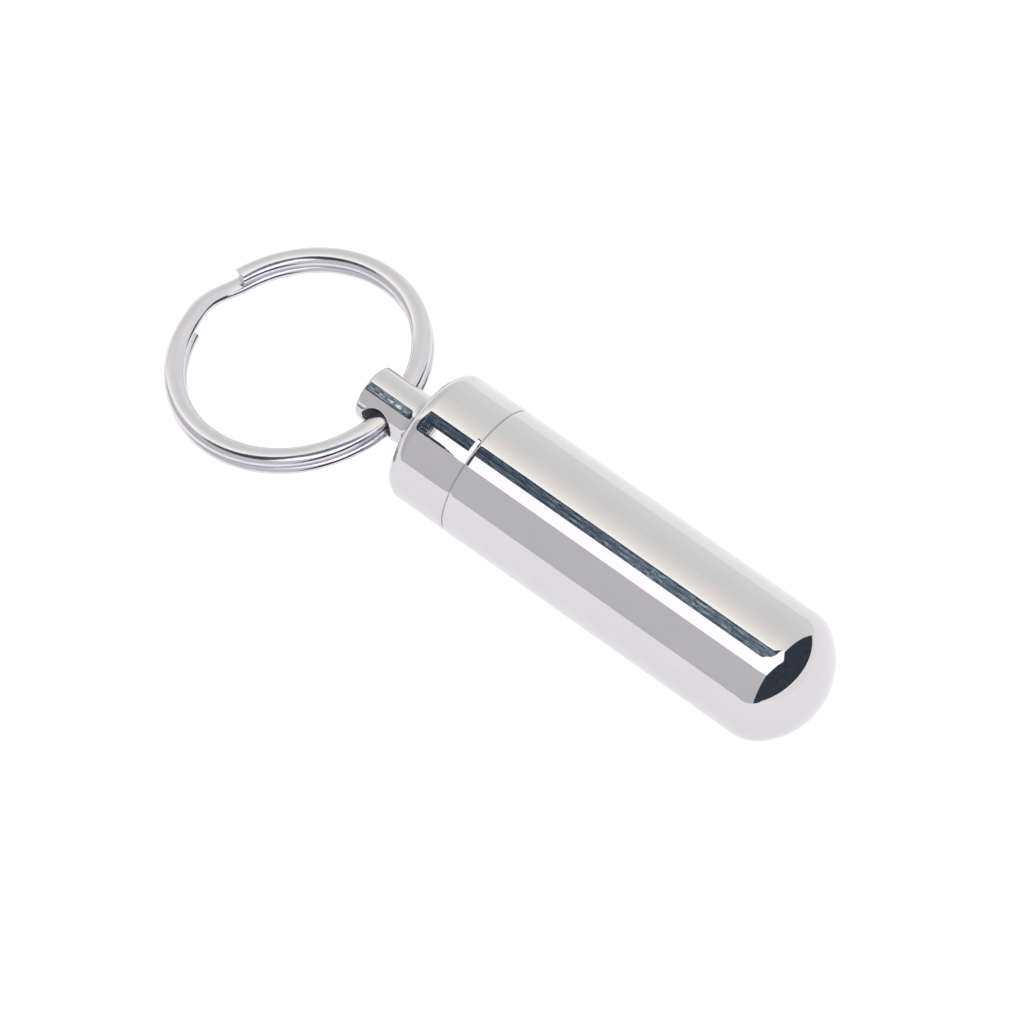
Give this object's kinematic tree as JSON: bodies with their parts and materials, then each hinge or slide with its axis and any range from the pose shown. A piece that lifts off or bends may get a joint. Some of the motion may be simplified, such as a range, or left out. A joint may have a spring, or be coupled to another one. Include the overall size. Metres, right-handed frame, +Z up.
{
  "type": "pill fob keychain",
  "caption": "Slim metal pill container with a domed end, a sealed screw cap and a drilled post that carries a split key ring.",
  "frame": {"origin": "middle of the straight barrel, on the fob's axis", "axes": "+X along the fob's axis towards the domed end, +Z up from the surface that the fob and its ring lie on"},
  "size_m": [0.0726, 0.025, 0.0132],
  "materials": {
    "fob_metal": "mirror polished stainless steel",
    "seal_rubber": "smooth moulded rubber",
    "ring_wire": "bright nickel plate on steel wire"
  },
  "bodies": {
    "barrel": {"barrel": "fob_metal"},
    "seal": {"o_ring": "seal_rubber"},
    "cap": {"cap": "fob_metal"},
    "key_ring": {"split_ring": "ring_wire"}
  },
  "joints": [
    {"name": "cap_lift", "type": "slide", "parent": "barrel", "child": "seal", "axis": [-1, 0, 0], "range_m": [0, 0.007]},
    {"name": "cap_unscrew", "type": "hinge", "parent": "seal", "child": "cap", "pos_m": [-0.0165, 0, 0], "axis": [-1, 0, 0], "range_deg": [0, 2521]},
    {"name": "ring_swing", "type": "hinge", "parent": "cap", "child": "key_ring", "pos_m": [-0.0275, 0, 0], "axis": [0, 1, 0], "range_deg": [-145, 172]}
  ],
  "couplings": [
    {"joint": "cap_unscrew", "follows": "cap_lift", "rad_per_m": 6283.2}
  ]
}
